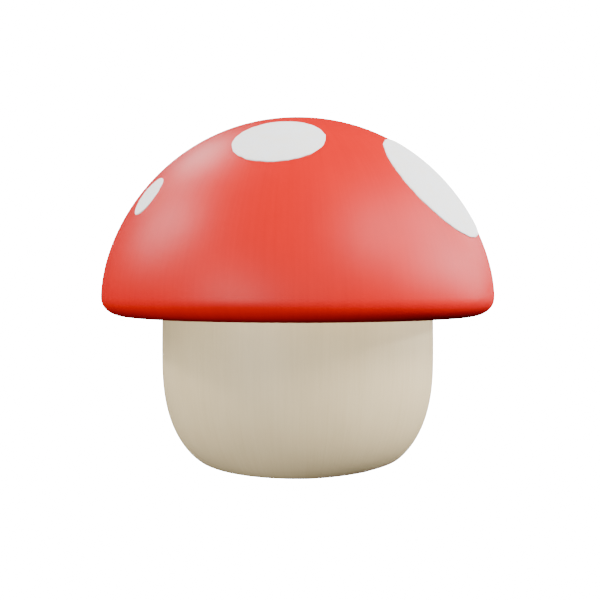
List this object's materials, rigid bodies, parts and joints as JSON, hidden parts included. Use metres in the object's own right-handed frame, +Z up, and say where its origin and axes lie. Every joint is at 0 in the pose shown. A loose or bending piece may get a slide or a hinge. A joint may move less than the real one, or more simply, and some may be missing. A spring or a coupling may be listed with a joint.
{
  "type": "fly agaric mushroom",
  "caption": "Stout fly agaric mushroom: domed red cap with flat white warts over pale gills, on a thick cream stem that stands on its flat foot.",
  "frame": {"origin": "centre of the mushroom's footprint on the surface that it stands on, under the stem's axis", "axes": "+Z up along the stem's axis, -Y towards the front seen in the picture, +X to its right"},
  "size_m": [0.12, 0.12, 0.1054],
  "materials": {
    "cap_skin": "smooth red skin with a soft sheen",
    "gill_flesh": "matte cream, crowded thin blades",
    "stem_flesh": "matte cream, faintly fibrous along its length",
    "veil": "matte white, felted"
  },
  "bodies": {
    "root": {"cap": "cap_skin", "gills": "gill_flesh", "stem": "stem_flesh", "wart_1": "veil", "wart_2": "veil", "wart_3": "veil", "wart_4": "veil", "wart_5": "veil", "wart_6": "veil", "wart_7": "veil", "wart_8": "veil"}
  },
  "joints": []
}
